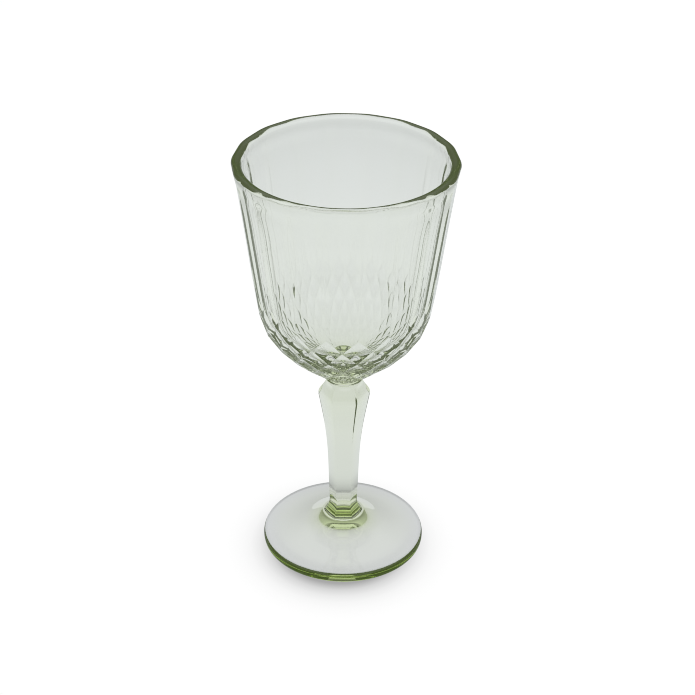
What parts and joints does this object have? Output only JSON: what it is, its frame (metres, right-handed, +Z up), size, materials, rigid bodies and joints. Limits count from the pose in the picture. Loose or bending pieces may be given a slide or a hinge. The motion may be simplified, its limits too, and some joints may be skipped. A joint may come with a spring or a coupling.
{
  "type": "wine glass",
  "caption": "Stemmed wine glass of pale green pressed glass: panelled bowl with diamond-cut base, thin collar, solid six-sided stem and round foot.",
  "frame": {"origin": "centre of the ring the foot rests on, at floor level", "axes": "+Z up along the axis of the stem and bowl; two of the bowl's panel corners are on the X axis, and the hexagonal stem has two corners 2.4 degrees round from it and a flat face towards -Y"},
  "size_m": [0.086, 0.0846, 0.1723],
  "materials": {
    "foot_glass": "smooth fire-polished pressed glass, faint green tint",
    "stem_glass": "smooth fire-polished pressed glass, faint green tint",
    "collar_glass": "smooth fire-polished pressed glass, faint green tint",
    "bowl_glass": "smooth fire-polished pressed glass, faint green tint"
  },
  "bodies": {
    "root": {"foot": "foot_glass", "stem": "stem_glass", "collar": "collar_glass", "bowl": "bowl_glass"}
  },
  "joints": []
}
